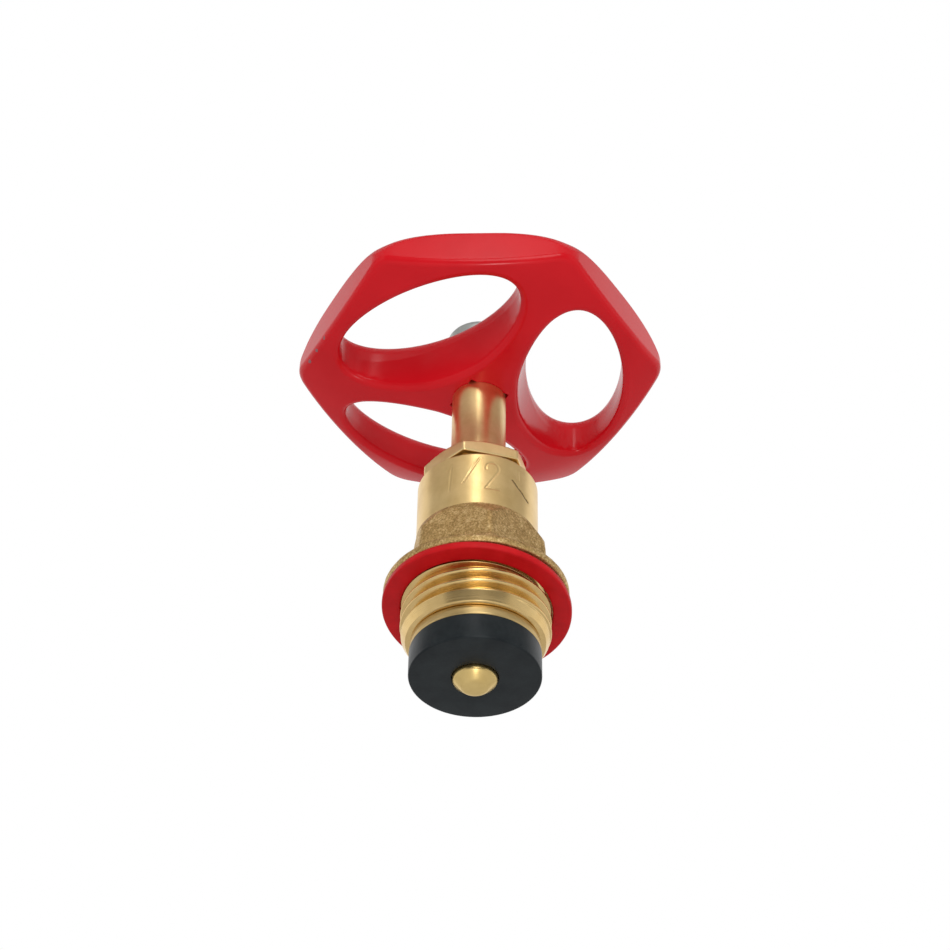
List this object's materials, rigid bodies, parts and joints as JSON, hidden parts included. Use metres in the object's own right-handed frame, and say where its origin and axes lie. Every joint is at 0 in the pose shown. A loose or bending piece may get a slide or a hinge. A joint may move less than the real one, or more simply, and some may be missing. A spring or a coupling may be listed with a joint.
{
  "type": "valve headwork",
  "caption": "Brass screw-in headwork of a stop valve: a rising spindle carries a loose rubber-faced disc below and a red hexagonal handwheel with oval windows above.",
  "frame": {"origin": "on the spindle axis, at the upper end of the pipe thread, just under the gasket", "axes": "+Z along the spindle axis towards the handwheel, -Y towards the picture's camera"},
  "size_m": [0.055, 0.0496, 0.0656],
  "materials": {
    "forged_brass": "forged and turned",
    "turned_brass": "bright turned",
    "gasket_red": "smooth fibre",
    "packing_grey": "pressed packing",
    "black_rubber": "matte",
    "red_enamel": "gloss enamel on a casting",
    "zinc_steel": "zinc plated"
  },
  "bodies": {
    "bonnet": {"bonnet": "forged_brass", "bonnet_gasket": "gasket_red", "packing_washer": "turned_brass", "packing_ring_lower": "packing_grey", "packing_ring_upper": "packing_grey", "gland_follower": "turned_brass", "gland_nut": "turned_brass"},
    "disc": {"disc_holder": "turned_brass", "seat_washer": "black_rubber"},
    "stem": {"spindle": "turned_brass", "handwheel": "red_enamel", "handwheel_screw": "zinc_steel"}
  },
  "joints": [
    {"name": "disc_lift", "type": "slide", "parent": "bonnet", "child": "disc", "axis": [0, 0, 1], "range_m": [-0.0065, 0]},
    {"name": "handwheel_turn", "type": "hinge", "parent": "disc", "child": "stem", "pos_m": [0, 0, 0], "axis": [0, 0, 1], "range_deg": [-1170, 0]}
  ],
  "couplings": [
    {"joint": "disc_lift", "follows": "handwheel_turn", "m_per_rad": 0.00031831}
  ]
}
